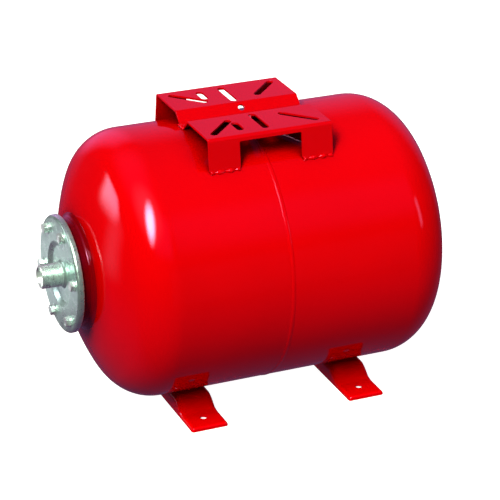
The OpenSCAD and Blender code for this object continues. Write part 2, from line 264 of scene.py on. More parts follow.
# red lifted above the base enamel: painted light on the feet, with only faint painted shade in
# their hollows
ENAMEL_PAINTED_LIGHT_FOOT = make_enamel("red enamel with painted light on foot", 0.07, 0.10, tone=1.12, crevice_shade=(0.05, 0.85),
                          clear=0.45, shine=0.40)
ZINC = make_metal("zinc plate", (0.62, 0.84, 0.80), (0.50, 0.70, 0.67), 0.30, metallic=0.86)
ZINC_BRIGHT = make_metal("bright zinc", (0.90, 1.0, 0.99), (0.77, 0.92, 0.90), 0.28,
                         metallic=0.86)
STEEL_WIRE = make_metal("spring wire", (0.62, 0.62, 0.64), (0.45, 0.45, 0.47), 0.25)
BRASS = make_metal("machined brass", (0.83, 0.63, 0.30), (0.66, 0.48, 0.21), 0.22)
RUBBER = make_soft("black rubber", (0.018, 0.018, 0.019), (0.035, 0.035, 0.036),
                   0.62, 500.0, 0.3)
PLASTIC = make_soft("black plastic", (0.014, 0.014, 0.015), (0.024, 0.024, 0.026),
                    0.38, 900.0, 0.25)


# ---------------------------------------------------------------- mesh helpers
def smooth(mesh, sharp):
    """Smooth shading, with sharp edges above an angle in degrees."""
    for polygon in mesh.polygons:
        polygon.use_smooth = True
    mesh.set_sharp_from_angle(angle=radians(sharp))


def mesh_from(name, bm):
    """Turns a bmesh in mm into a mesh in metres and frees it."""
    bmesh.ops.recalc_face_normals(bm, faces=bm.faces)
    bm.transform(Matrix.Scale(MM, 4))
    mesh = bpy.data.meshes.new(name)
    bm.to_mesh(mesh)
    bm.free()
    return mesh


def evaluated_mesh(ob):
    bpy.context.view_layer.update()
    return bpy.data.meshes.new_from_object(
        ob.evaluated_get(bpy.context.evaluated_depsgraph_get()))


def finish_mesh(name, bm, material, replaces, sharp=35.0, body="vessel"):
    """Makes a piece that rides on a body and stands for one CAD node."""
    mesh = mesh_from(name, bm)
    smooth(mesh, sharp)
    mesh.materials.append(material)
    ob = new_object(name, mesh)
    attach(ob, body)
    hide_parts(replaces)
    return ob


def bore_holes(ob, cutter_bm, sharp=35.0):
    """Cuts the cutter's solids out of the piece and keeps the result as its mesh."""
    cutter = new_object("cutter", mesh_from("cutter", cutter_bm))
    cut = ob.modifiers.new("cut", "BOOLEAN")
    cut.operation, cut.solver, cut.object = "DIFFERENCE", "EXACT", cutter
    result = evaluated_mesh(ob)
    ob.modifiers.clear()
    ob.data = result
    smooth(result, sharp)
    bpy.data.objects.remove(cutter)
    ob.modifiers.new("normals", "WEIGHTED_NORMAL").keep_sharp = True


def arc(cx, cy, r, a, b, n):
    """Points of an arc from angle a to angle b, both ends included."""
    angles = [a + (b - a) * i / n for i in range(n + 1)]
    return [(cx + r * cos(t), cy + r * sin(t)) for t in angles]


def rounded(points, closed=True, steps=5):
    """Corner points (x, y, radius) to a chain of points with those corners rounded."""
    out, n = [], len(points)
    for i, (x, y, radius) in enumerate(points):
        corner = Vector((x, y))
        if radius <= 0 or (not closed and i in (0, n - 1)):
            out.append((x, y))
            continue
        a = Vector(points[(i - 1) % n][:2]) - corner
        b = Vector(points[(i + 1) % n][:2]) - corner
        room = 0.49 * a.length, 0.49 * b.length
        a, b = a.normalized(), b.normalized()
        half = acos(max(-1, min(1, a.dot(b)))) / 2
        if half > pi / 2 - 0.01:
            out.append((x, y))
            continue
        cut = min(radius / tan(half), *room)
        centre = corner + (a + b).normalized() * (cut * tan(half) / sin(half))
        s, e = corner + a * cut - centre, corner + b * cut - centre
        sweep = atan2(s.x * e.y - s.y * e.x, s.dot(e))
        for k in range(steps + 1):
            t = sweep * k / steps
            out.append((centre.x + s.x * cos(t) - s.y * sin(t),
                        centre.y + s.x * sin(t) + s.y * cos(t)))
    return out


def axis_ring(bm, x, radius, seg):
    """Ring of vertices about the vessel axis; radius(angle) gives its size."""
    ring = []
    for k in range(seg):
        a = 2 * pi * k / seg
        r = radius(a)
        ring.append(bm.verts.new((x, r * cos(a), AXIS_Z + r * sin(a))))
    return ring


def placed_ring(bm, matrix, point, seg):
    """Ring of vertices about a part's own Z; point(angle) gives (r, z)."""
    ring = []
    for k in range(seg):
        a = 2 * pi * k / seg
        r, z = point(a)
        ring.append(bm.verts.new(matrix @ Vector((r * cos(a), r * sin(a), z))))
    return ring


def loft(bm, rings):
    """Closed body through a row of rings, with both ends capped."""
    for p, q in zip(rings, rings[1:]):
        for k in range(len(p)):
            m = (k + 1) % len(p)
            bm.faces.new((p[k], p[m], q[m], q[k]))
    bm.faces.new(rings[0][::-1])
    bm.faces.new(rings[-1])


def loop_rings(bm, rings):
    """Closed body from a loop of rings; a ring may be a single point on the axis."""
    for p, q in zip(rings, rings[1:] + rings[:1]):
        n = max(len(p), len(q))
        for k in range(n if n > 1 else 0):
            m = (k + 1) % n
            if len(p) == 1:
                bm.faces.new((p[0], q[k], q[m]))
            elif len(q) == 1:
                bm.faces.new((p[k], q[0], p[m]))
            else:
                bm.faces.new((p[k], q[k], q[m], p[m]))


def no_wobble(x, r, a):
    return 0.0


def turned(name, profile, material, replaces, seg=192, wobble=no_wobble, sharp=35.0,
           body="vessel"):
    """Piece turned about the vessel axis; wobble(x, r, angle) is a shift along r."""
    bm = bmesh.new()
    rings = []
    for x, r in profile:
        if r < 1e-6:
            rings.append([bm.verts.new((x, 0, AXIS_Z))])
        else:
            rings.append(axis_ring(bm, x, lambda a: r + wobble(x, r, a), seg))
    loop_rings(bm, rings)
    return finish_mesh(name, bm, material, replaces, sharp, body)


def at_bolt(index):
    """Matrix that puts a part drawn along +Z at a flange bolt, with +Z towards -X."""
    a = radians(BOLT_PHASE + index * 360 / BOLTS)
    place = Vector((FLANGE_X, BOLT_PITCH_R * cos(a), AXIS_Z + BOLT_PITCH_R * sin(a)))
    face_out = Matrix.Rotation(a, 4, "X") @ Matrix.Rotation(-pi / 2, 4, "Y")
    return Matrix.Translation(place) @ face_out


def drum(bm, matrix, r, z0, z1, seg):
    """Plain closed cylinder, for cutting holes."""
    loft(bm, [placed_ring(bm, matrix, lambda a: (r, z), seg) for z in (z0, z1)])


def bolt_holes(ob, r):
    """Cuts the flange's bolt holes through a piece."""
    cutter = bmesh.new()
    for i in range(BOLTS):
        drum(cutter, at_bolt(i), r, -20, 20, 32)
    bore_holes(ob, cutter)


def screw_tooth(x, pitch, a):
    """Height along a helical thread, 0 to 1 and back within each pitch."""
    return 1 - abs(2 * ((x / pitch - a / (2 * pi)) % 1.0) - 1)


def weld_ripple(depth, count):
    """Wobble of a weld round the axis: count dabs, with some unevenness."""
    def wobble(x, r, a):
        uneven = noise.noise(Vector((cos(a) * 14, sin(a) * 14, 0.4 * x)))
        return depth * (0.6 * abs(sin(a * count / 2)) + 0.7 * uneven)
    return wobble


# ---------------------------------------------------------------- shells
def dome_profile(s, inset, opening, crown_n=34, knuckle_n=26, wall_n=12):
    """Outline of a half shell (s -1 front, 1 rear) from its opening to the seam."""
    tangent_x, crown_x = (FRONT_TANGENT, CROWN_FRONT) if s < 0 else (REAR_TANGENT, CROWN_REAR)
    crown_r = CROWN_R - inset
    crown = arc(0, 0, crown_r, asin(opening / crown_r), DOME_HALF, crown_n)
    knuckle = arc(0, KNUCKLE_Y, KNUCKLE_R - inset, DOME_HALF, pi / 2, knuckle_n)[1:]
    wall = [(tangent_x + (SEAM_X - tangent_x) * i / wall_n, VESSEL_R - inset)
            for i in range(1, wall_n + 1)]
    return [(crown_x + s * x, r) for x, r in crown] + \
           [(tangent_x + s * x, r) for x, r in knuckle] + wall


for node, s, opening in (("shell_front", -1, WATER_OPENING_R), ("shell_rear", 1, VALVE_OPENING_R)):
    outer = dome_profile(s, 0.0, opening)
    inner = dome_profile(s, SHELL_T, opening)
    turned(node + "_skin", outer + inner[::-1], ENAMEL, node, seg=256)


def seam_ripple(x, r, a):
    """Faint ripples on the girth bead, none at its feet."""
    if r < VESSEL_R + 0.05:
        return 0.0
    return 0.05 * sin(a * 190) + 0.05 * noise.noise(Vector((cos(a) * 9, sin(a) * 9, x)))


crest = [(SEAM_X - GIRTH_BEAD_HALF * cos(pi * i / 14),
          VESSEL_R + GIRTH_BEAD_H * sin(pi * i / 14) ** 1.3) for i in range(15)]
sunk = [(SEAM_X + s * GIRTH_BEAD_HALF, VESSEL_R - 0.3) for s in (1, -1)]
turned("girth_bead", crest + sunk, ENAMEL, "girth_weld",
       seg=760, wobble=seam_ripple, sharp=60)


# ---------------------------------------------------------------- neck ring and its weld
def crown_at(r):
    """X of the front dome's outside at a radius."""
    return CROWN_FRONT - sqrt(CROWN_R ** 2 - r * r)


neck_x, neck_in_x, toe_x = crown_at(NECK_R), crown_at(NECK_R - NECK_T), crown_at(NECK_TOE_R)
# the neck collar and its weld wear the darkened enamel: painted shade
collar = turned("neck_collar", rounded([
    (NECK_FACE, NECK_BORE_R, 0.6), (NECK_FACE, NECK_R, 3.4), (neck_x + 1.0, NECK_R, 0),
    (neck_in_x + 1.0, NECK_R - NECK_T, 0), (NECK_FACE + NECK_T, NECK_R - NECK_T, 1.0),
    (NECK_FACE + NECK_T, NECK_BORE_R, 0.6)]),
    ENAMEL_PAINTED_SHADE_NECK, "neck_ring")
bolt_holes(collar, NECK_HOLE_R)

turned("neck_bead", [
    (neck_x - 5.0, NECK_R - 0.2), (neck_x - 4.6, NECK_R + 0.35), (neck_x - 3.0, NECK_R + 0.9),
    (neck_x - 1.3, NECK_R + 2.2), (neck_x - 0.2, NECK_R + 4.0), (toe_x - 0.35, NECK_TOE_R - 0.8),
    (toe_x + 0.1, NECK_TOE_R), (toe_x + 0.8, NECK_TOE_R - 0.6), (neck_x + 0.9, NECK_R - 0.2)],
    ENAMEL_PAINTED_SHADE_NECK, "neck_weld", seg=512, wobble=weld_ripple(0.12, 150), sharp=60)

# ---------------------------------------------------------------- counter-flange, nipple
flange_in_x, recess_x = FLANGE_X + FLANGE_T, FLANGE_X + RECESS_DEPTH
flange = turned("flange_pressing", rounded([
    (FLANGE_X, FLANGE_R, 6.0), (FLANGE_X + FLANGE_RIM, FLANGE_R, 1.2),
    (FLANGE_X + FLANGE_RIM, FLANGE_R - FLANGE_T, 1.2), (flange_in_x, FLANGE_R - FLANGE_T, 3.0),
    (flange_in_x, RECESS_R, 2.5), (recess_x + FLANGE_T, RECESS_FLOOR_R, 2.5),
    (recess_x + FLANGE_T, NIPPLE_SEAT_R, 0.3), (recess_x, NIPPLE_SEAT_R, 0.3),
    (recess_x, RECESS_FLOOR_R, 4.0), (FLANGE_X, RECESS_R, 4.0)], steps=7),
    ZINC, "counter_flange", seg=256)
bolt_holes(flange, FLANGE_HOLE_R)


def nipple_radius(x, a):
    """Outside of the male thread, fading at its root and chamfered at its open end."""
    tooth = min(1.0, max(0.0, (screw_tooth(x, THREAD_PITCH, a) - 0.1) / 0.8))
    tooth = tooth * tooth * (3 - 2 * tooth) * 0.45 + tooth * 0.55
    fade = min(1.0, max(0.0, (THREAD_ROOT - x) / THREAD_PITCH))
    return min(THREAD_R - THREAD_DEPTH * (1 - tooth) * fade,
               THREAD_R - 1.6 + (x - NIPPLE_X) * 1.1)


NIPPLE_SEG, ROWS_PER_TURN = 160, 12
rows = int(ceil((NIPPLE_END - NIPPLE_X) / THREAD_PITCH * ROWS_PER_TURN))
bm = bmesh.new()
rings = []
for i in range(rows + 1):
    x = NIPPLE_X + (NIPPLE_END - NIPPLE_X) * i / rows
    rings.append(axis_ring(bm, x, lambda a: nipple_radius(x, a), NIPPLE_SEG))
for x, r in ((NIPPLE_END, BORE_R), (NIPPLE_X + 0.8, BORE_R),
             (NIPPLE_X + 0.15, BORE_R + 0.65), (NIPPLE_X, BORE_R + 0.9)):
    rings.append(axis_ring(bm, x, lambda a: r, NIPPLE_SEG))
loop_rings(bm, rings)
finish_mesh("threaded_nipple", bm, ZINC_BRIGHT, "water_nipple", sharp=70)

turned("nipple_bead", [(FLANGE_X + dx, r) for dx, r in (
    (5.3, 16.1), (2.0, 16.1), (2.1, 16.6), (3.0, 17.3), (4.2, 18.6), (4.8, 19.8), (5.3, 20.2))],
    ZINC, "nipple_weld", seg=256, wobble=weld_ripple(0.15, 44), sharp=60)


# ---------------------------------------------------------------- flange bolts and washers
def hex_radius(a, flats, power=44):
    """Hexagon's radius at an angle; the higher the power, the sharper its corners."""
    faces = sum(abs(cos(a - k * pi / 3)) ** power for k in range(3))
    return flats / 2 / faces ** (1 / power)


def hex_head(bm, matrix, base_z, seg=96):
    """Hexagon head with a chamfered top and rounded corners."""
    disc = HEX_FLATS * 0.475  # radius of the flat circle on top
    top = base_z + HEX_HEIGHT

    def chamfer(h):
        return top - (h - disc) * 0.577

    levels = (
        lambda h: (disc * 0.96, base_z),
        lambda h: (h - 0.25, base_z),
        lambda h: (h, base_z + 0.25),
        lambda h: (h, chamfer(h) - 0.12),
        lambda h: (h - 0.14, chamfer(h) + 0.02),
        lambda h: (disc + 0.12, top - 0.08),
        lambda h: (disc - 0.12, top),
        lambda h: (disc * 0.80, top),
        lambda h: (disc * 0.74, top - 0.25))
    loft(bm, [placed_ring(bm, matrix, lambda a: at_level(hex_radius(a, HEX_FLATS)), seg)
              for at_level in levels])


def screw_shank(bm, matrix, z0, z1, seg=32, per_turn=6):
    n = int((z1 - z0) / SHANK_PITCH * per_turn)
    rings = []
    for i in range(n + 1):
        z = z0 + (z1 - z0) * i / n
        lead_in = SHANK_R - SHANK_DEPTH + (z - z0) * 0.8 + 0.1

        def point(a):
            groove = SHANK_DEPTH * (1 - screw_tooth(z, SHANK_PITCH, a))
            return min(SHANK_R - groove, lead_in), z

        rings.append(placed_ring(bm, matrix, point, seg))
    loft(bm, rings)


bm = bmesh.new()
for i in range(BOLTS):
    spin = Matrix.Rotation(radians(17 + 23 * i), 4, "Z")  # tightened to uneven angles
    hex_head(bm, at_bolt(i) @ spin, WASHER_T)
    screw_shank(bm, at_bolt(i), -SHANK_DEEP, WASHER_T + 0.1)
finish_mesh("hex_bolts", bm, ZINC_BRIGHT, "flange_bolts", sharp=28)

bm = bmesh.new()
washer_section = rounded([
    (WASHER_HOLE_R, 0.02, 0.15), (WASHER_R, 0.02, 0.3),
    (WASHER_R, WASHER_T, 0.3), (WASHER_HOLE_R, WASHER_T, 0.15)], steps=3)
for i in range(BOLTS):
    loop_rings(bm, [placed_ring(bm, at_bolt(i), lambda a: corner, 64)
                    for corner in washer_section])
finish_mesh("flat_washers", bm, ZINC_BRIGHT, "flange_washers")

# ---------------------------------------------------------------- pump bracket
MID_Z = BRACKET_TOP - SHEET / 2   # middle of the platforms' sheet, above the vessel axis
EDGE_Y = PLATFORM_EDGE - SHEET / 2


def leg_foot():
    """Where the middle of a leg's sheet meets the vessel, as (y, z)."""
    step = 0.0
    while hypot(EDGE_Y + step * sin(LEG_LEAN), MID_Z - step * cos(LEG_LEAN)) > VESSEL_R + 0.6:
        step += 0.05
    return EDGE_Y + step * sin(LEG_LEAN), MID_Z - step * cos(LEG_LEAN)


half_path = [(CHANNEL_HALF, VESSEL_R + 2 + SHEET / 2, 3.5), (CHANNEL_TOP_HALF, MID_Z, 4.0),
             (EDGE_Y, MID_Z, 3.6), (*leg_foot(), 0)]
path = rounded([(-y, z, r) for y, z, r in half_path[::-1]] + half_path, closed=False, steps=8)
lengths = [0.0]
for p, q in zip(path, path[1:]):
    lengths.append(lengths[-1] + hypot(q[0] - p[0], q[1] - p[1]))
TOTAL = lengths[-1]


def path_normal(i):
    d = Vector(path[i + 1]) - Vector(path[i])
    return Vector((-d.y, d.x)).normalized()


def along(v):
    """Point and upward normal of the bracket's middle line at a length v from its centre."""
    v = min(max(v + TOTAL / 2, 0.0), TOTAL)
    last = len(path) - 2
    i = next((i for i in range(last) if v <= lengths[i + 1]), last)
    here = path_normal(i)
    before = (path_normal(i - 1) + here).normalized() if i else here
    after = (path_normal(i + 1) + here).normalized() if i < last else here
    share = (v - lengths[i]) / (lengths[i + 1] - lengths[i])
    normal = before.lerp(after, share).normalized()
    point = Vector(path[i]).lerp(Vector(path[i + 1]), share)
    return point, normal * (1.0 / max(0.5, normal.dot(here)))


def length_at(test):
    """First length from the centre outwards where test(y, z) holds."""
    v = 0.0
    while not test(*along(v)[0]):
        v += 0.02
    return v


V_TOP = length_at(lambda y, z: z > MID_Z - 0.001)
V_SKIRT = length_at(lambda y, z: y > 90 and z < BRACKET_TOP - SKIRT)
V_WEB_HOLE = length_at(lambda y, z: y > 15.2)
V_END = TOTAL / 2
Y_TOP = along(V_TOP)[0].x


def slot_outline(a, b, n=12):
    """Round-ended slot between two points."""
    a, b = Vector(a), Vector(b)
    t = atan2(b.y - a.y, b.x - a.x)
    return arc(*b, SLOT_R, t - pi / 2, t + pi / 2, n) + \
        arc(*a, SLOT_R, t + pi / 2, t + 3 * pi / 2, n)


def sheet_outlines():
    """Flat pattern of the bracket: outer edge, slots and wall holes, as (x, v)."""
    hx, nx = BRACKET_LEN / 2, BRACKET_LEN / 2 - LEG_W
    side = [(-hx, V_END, 1.2), (-nx, V_END, 1.2), (-nx, V_SKIRT, 2.0),
            (nx, V_SKIRT, 2.0), (nx, V_END, 1.2), (hx, V_END, 1.2)]
    loops = [rounded([(s * x, s * v, r) for s in (1, -1) for x, v, r in side], steps=4)]
    for s in (-1, 1):
        for ends in SLOTS:
            loops.append(slot_outline(*((x, s * (V_TOP + (y - Y_TOP))) for x, y in ends)))
        loops.append(arc(WEB_HOLE_X, s * V_WEB_HOLE, WEB_HOLE_R, 0, 2 * pi, 28)[:-1])
    return loops


def bent_sheet(edge_r=0.35):
    """Fills the flat pattern, splits it at the bends' lengths and bends it."""
    curve = bpy.data.curves.new("flat_pattern", "CURVE")
    curve.dimensions, curve.fill_mode = "2D", "BOTH"
    curve.extrude, curve.offset = SHEET / 2 - edge_r, -edge_r
    curve.bevel_depth, curve.bevel_resolution = edge_r, 2
    for loop in sheet_outlines():
        spline = curve.splines.new("POLY")
        spline.points.add(len(loop) - 1)
        for point, (x, v) in zip(spline.points, loop):
            point.co = (x, v, 0, 1)
        spline.use_cyclic_u = True
    pattern = new_object("flat_pattern", curve)
    bm = bmesh.new()
    bm.from_mesh(evaluated_mesh(pattern))
    bpy.data.objects.remove(pattern)
    bmesh.ops.remove_doubles(bm, verts=bm.verts, dist=1e-4)
    for v in sorted({round(v - TOTAL / 2, 4) for v in lengths[1:-1]}):
        bmesh.ops.bisect_plane(bm, geom=bm.verts[:] + bm.edges[:] + bm.faces[:], dist=1e-5,
                               plane_co=(0, v, 0), plane_no=(0, 1, 0))
    for vert in bm.verts:
        point, normal = along(vert.co.y)
        bent = point + normal * vert.co.z
        vert.co = (BRACKET_X + vert.co.x, bent.x, AXIS_Z + bent.y)
    return bm


# the bracket wears the enamel with painted shade
sheet = finish_mesh("bracket_sheet", bent_sheet(), ENAMEL_PAINTED_SHADE_SHEET, "pump_bracket",
                    sharp=50)
weighted = sheet.modifiers.new("normals", "WEIGHTED_NORMAL")
weighted.keep_sharp, weighted.weight = True, 100


def lumpy_bead(bm, centre, length, r, lumps, seed, taper=2.0, wide=1.0, neck=0.45, seg=16):
    """Weld bead: centre(t) gives (point, out, up) at t mm along it; lumps are its dabs.

    neck is how far the bead thins between dabs, and taper the length of its ends.
    """
    n = int(length * 5 / 3)
    rings = []
    for i in range(n + 1):
        t = length * i / n
        point, out, up = centre(t)
        swell = (1 - neck) + neck * abs(cos(pi * lumps * t / length)) ** 0.9
        ends = sqrt(max(0.0, 1 - (1 - min(1.0, t / taper, (length - t) / taper)) ** 2))
        uneven = 1 + 0.25 * noise.noise(Vector((t * 0.35, seed * 3.1, 0)))
        size = r * swell * (0.08 + 0.92 * ends) * uneven
        ring = []
        for k in range(seg):
            a = 2 * pi * k / seg
            rough = noise.noise(Vector((t * 0.6, cos(a) * 1.5 + seed, sin(a) * 1.5)))
            offset = (out * cos(a) * wide + up * sin(a)) * size * (1 + 0.12 * rough)
            ring.append(bm.verts.new(point + offset))
        rings.append(ring)
    loft(bm, rings)


bm = bmesh.new()
foot_y, foot_z = leg_foot()
for s in (-1, 1):
    for k in (-1, 1):
        up = Vector((0, s * (foot_y + 2.1), foot_z)).normalized()
        out = Vector((0, s * up.z, -abs(up.y)))
        start = Vector((0, 0, AXIS_Z)) + up * (VESSEL_R + 0.5)
        start.x = BRACKET_X + k * (BRACKET_LEN / 2 - LEG_W / 2) - LEG_W / 2 + 1
        lumpy_bead(bm, lambda t: (start + Vector((t, 0, 0)), out, up),
                   LEG_W - 2, 2.7, 3, 5 * s + k, wide=1.15, neck=0.75, taper=1.2)
for k in (-1, 1):
    x = BRACKET_X + k * BRACKET_LEN / 2 + 0.3 * k
    lumpy_bead(bm, lambda t: (Vector((x, t - CHANNEL_HALF, AXIS_Z + VESSEL_R + 0.9)),
                              Vector((k, 0, 0)), Vector((0, 0, 1))),
               2 * CHANNEL_HALF, 2.2, 2, 20 + k)
finish_mesh("bracket_beads", bm, ENAMEL_WELD, "bracket_welds", sharp=80)


# ---------------------------------------------------------------- feet
def saddle_top(y):
    return AXIS_Z - sqrt(VESSEL_R ** 2 - y * y)


CREST_Z = saddle_top(SADDLE_Y) + 0.4


def foot_top(y):
    """Height of a foot's upper face: saddle, shoulder, S-bend, then the tab's rounded end."""
    y = abs(y)
    if y < SADDLE_Y:
        return saddle_top(y) - 0.15
    if y < SHOULDER_Y:
        return CREST_Z
    if y < TOE_Y:
        fall = 0.5 + 0.5 * cos(pi * (y - SHOULDER_Y) / (TOE_Y - SHOULDER_Y))
        return TAB_TOP + (CREST_Z - TAB_TOP) * fall
    over = max(0.0, y - (FOOT_HALF - FOOT_END_R))
    return TAB_TOP - FOOT_END_R + sqrt(max(0.0, FOOT_END_R ** 2 - over * over))


def foot_half_width(y):
    over = max(0.0, abs(y) - (FOOT_HALF - FOOT_CORNER))
    return FOOT_W / 2 - FOOT_CORNER + sqrt(max(0.0, FOOT_CORNER ** 2 - over * over))


def tray_side(w, top, bend, straight, steps):
    """Half of a tray's section, from its turned-down edge at -w to its middle."""
    side = [(-w, 0.0), (-w, (top - bend) * 0.5)]
    for i in range(steps + 1):
        a = pi / 2 * i / steps
        side.append((-w + bend - bend * cos(a), top - bend + bend * sin(a)))
    return side + [(-w * straight, top), (0.0, top)]


def tray(half):
    """Adds the mirror image of half a section."""
    return half + [(-x, z) for x, z in half[-2::-1]]


def foot_section(y):
    """Closed section (x, z) of a foot: its outside, then back along its inside."""
    top, w = foot_top(y), foot_half_width(y)
    inner_top = max(0.0, top - FOOT_T)
    outside = tray(tray_side(w, top, min(FOOT_BEND, top * 0.80), 0.45, 9))
    inside = tray(tray_side(w - FOOT_T, inner_top, min(2.5, inner_top * 0.9), 0.4, 5))
    return outside + inside[::-1]


tab_start = FOOT_HALF - FOOT_END_R
half_stations = [i * 4.0 for i in range(11)] + [SADDLE_Y - 0.05, SADDLE_Y + 0.3, 50, 58, SHOULDER_Y]
half_stations += [SHOULDER_Y + (TOE_Y - SHOULDER_Y) * i / 28 for i in range(1, 29)]
half_stations += [106, 112, 118, 124, 129, tab_start]
half_stations += [tab_start + FOOT_END_R * sin(pi / 2 * i / 10) for i in range(1, 11)]
FOOT_STATIONS = sorted({s * y for s in (-1, 1) for y in half_stations})

# the feet wear the brightened enamel: painted light
for node, x0 in (("foot_front", -FOOT_X), ("foot_rear", FOOT_X)):
    bm = bmesh.new()
    loft(bm, [[bm.verts.new((x0 + x, y, z)) for x, z in foot_section(y)] for y in FOOT_STATIONS])
    bmesh.ops.remove_doubles(bm, verts=bm.verts, dist=1e-4)
    bmesh.ops.dissolve_degenerate(bm, edges=bm.edges, dist=1e-4)
    foot = finish_mesh(node + "_pressing", bm, ENAMEL_PAINTED_LIGHT_FOOT, node, sharp=40)
    cutter = bmesh.new()
    for s in (-1, 1):
        drum(cutter, Matrix.Translation((x0, s * HOLE_Y, 0)), HOLE_R, -5, 12, 48)
    bore_holes(foot, cutter, 40)


def on_saddle(t, x, s):
    """Centre line of a foot's weld on the vessel's underside."""
    a = -FOOT_WELD_HALF + t / VESSEL_R
    down = Vector((0, sin(a), -cos(a)))
    return Vector((x + 0.4 * s, 0, AXIS_Z)) + down * (VESSEL_R + 0.9), Vector((s, 0, 0)), down


bm = bmesh.new()
for k in (-1, 1):
    for s in (-1, 1):
        lumpy_bead(bm, lambda t: on_saddle(t, k * FOOT_X + s * FOOT_W / 2, s),
                   2 * FOOT_WELD_HALF * VESSEL_R, 2.2, 9, 7 * k + s)
finish_mesh("foot_beads", bm, ENAMEL_WELD, "foot_welds", sharp=80)


# ---------------------------------------------------------------- bladder
def bladder_outline(inset):
    """From the neck round the front end, along the cylinder and round to the rear pole."""
    r, c, neck = BLADDER_R - inset, BLADDER_CENTRE_R, BLADDER_NECK_R - inset
    start = asin(min(1, (neck + 8 - c) / r))
    rear_end = BLADDER_REAR + r
    length = BLADDER_REAR - BLADDER_FRONT
    return [(BLADDER_NECK_END, neck)] + \
        [(2 * BLADDER_FRONT - x, y) for x, y in arc(BLADDER_FRONT, c, r, start, pi / 2, 20)] + \
        [(BLADDER_FRONT + length * i / 12, c + r) for i in range(1, 12)] + \
        arc(BLADDER_REAR, c, r, pi / 2, 0, 20) + \
        [(rear_end, c * (1 - i / 4)) for i in range(1, 5)]


def bladder_folds(x, r, a):
    """Six shallow folds, deeper towards the largest radius."""
    return 0.0 if r < 62 else -0.5 * abs(sin(6 * a)) ** 6 * min(1, (r - 62) / 40)


lip = [(flange_in_x, BLADDER_LIP_R), (flange_in_x + BLADDER_T, BLADDER_LIP_R),
       (flange_in_x + BLADDER_T, BLADDER_NECK_R)]
inside = bladder_outline(BLADDER_T)[::-1] + [(flange_in_x, BLADDER_NECK_R - BLADDER_T)]
turned("bladder_skin", lip + bladder_outline(0) + inside, RUBBER, "bladder",
       seg=160, sharp=50, wobble=bladder_folds)

# ---------------------------------------------------------------- air valve on the rear dome
STEM_SEG, STEM_ROWS = 96, 120
bm = bmesh.new()
rings = []
for dx, shrink in ((0, 0.35), (0.35, 0), (2.65, 0), (3.0, 0.35)):
    rings.append(axis_ring(bm, STEM_FACE + dx, lambda a: hex_radius(a, HEX_FLATS) - shrink,
                           STEM_SEG))
rings.append(axis_ring(bm, STEM_FACE + 3.0, lambda a: STEM_R, STEM_SEG))
for i in range(STEM_ROWS + 1):
    x = STEM_FACE + 3.2 + 12.4 * i / STEM_ROWS
    depth, lead_in = STEM_DEPTH * min(1.0, i / 12), 3.3 + (STEM_END - x) * 0.9
    rings.append(axis_ring(bm, x, lambda a: min(
        STEM_R - depth * (1 - screw_tooth(x, STEM_PITCH, a)), lead_in), STEM_SEG))
for x, r in ((STEM_END, 3.2), (STEM_END, 2.8), (STEM_END - 0.3, STEM_BORE_R),
             (STEM_FACE - 12.6, STEM_BORE_R), (STEM_FACE - 13, 2.3), (STEM_FACE - 13, 5.0),
             (STEM_FACE - 12.8, 5.2), (STEM_FACE, 5.2)):
    rings.append(axis_ring(bm, x, lambda a: r, STEM_SEG))
loop_rings(bm, rings)
finish_mesh("valve_stem_turned", bm, BRASS, "valve_stem", sharp=40)

cap_lo, cap_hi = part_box("valve_cap")
CAP0, CAP1, CAP_R = cap_lo.x * TO_MM, cap_hi.x * TO_MM, (cap_hi.z - cap_lo.z) * TO_MM / 2
CAP_BORE_R, CAP_TOP_R = 5.2, 1.5


def cap_ribs(x, r, a):
    """Grip ribs round the cap's side, none on its ends or inside."""
    if r < CAP_R - 0.05 or x < CAP0 + 1.0 or x > CAP1 - 1.6:
        return 0.0
    return -0.45 * (0.5 + 0.5 * cos(24 * a)) ** 0.7


cap_outside = [(CAP0, CAP_BORE_R), (CAP0, CAP_R - 0.3)]
cap_outside += [(x, CAP_R) for x in (
    CAP0 + 0.3, CAP0 + 0.95, CAP0 + 1.4, CAP0 + 6, CAP1 - 2.2, CAP1 - 1.55)]
cap_outside += arc(CAP1 - CAP_TOP_R, CAP_R - CAP_TOP_R, CAP_TOP_R, pi / 2, 0, 6)[1:]
cap_outside += [(CAP1, 2.5), (CAP1 - 0.25, 2.2), (CAP1 - 0.25, 0)]
turned("ribbed_cap", cap_outside + [(CAP1 - 1.7, 0), (CAP1 - 1.7, CAP_BORE_R)], PLASTIC,
       "valve_cap", wobble=cap_ribs, sharp=45, body="cap")

spring_lo, spring_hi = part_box("core_spring")
coil_r = (spring_hi.z - spring_lo.z) * TO_MM / 2 - SPRING_WIRE_R
coil_x0, coil_x1 = spring_lo.x * TO_MM + SPRING_WIRE_R, spring_hi.x * TO_MM - SPRING_WIRE_R
COIL_ROWS, COIL_SEG = 220, 10
bm = bmesh.new()
rings = []
for i in range(COIL_ROWS + 1):
    a = 2 * pi * SPRING_TURNS * i / COIL_ROWS
    out = Vector((0, cos(a), sin(a)))
    centre = Vector((coil_x0 + (coil_x1 - coil_x0) * i / COIL_ROWS, coil_r * cos(a),
                     AXIS_Z + coil_r * sin(a)))
    ring = []
    for k in range(COIL_SEG):
        b = 2 * pi * k / COIL_SEG
        ring.append(bm.verts.new(centre + Vector((sin(b), *(out.yz * cos(b)))) * SPRING_WIRE_R))
    rings.append(ring)
loft(bm, rings)
coil = finish_mesh("core_coil", bm, STEEL_WIRE, "core_spring", sharp=80)
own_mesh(coil)

# CAD nodes that stay in view keep their meshes and get finished materials
for node, material in {
        "weld_nuts": ZINC, "valve_boss": ZINC, "boss_weld": ENAMEL_WELD, "stem_gasket": RUBBER,
        "valve_core": BRASS, "core_seal": RUBBER, "core_pin": BRASS, "cap_seal": RUBBER}.items():
    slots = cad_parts[node].data.materials
    slots.clear()
    slots.append(material)

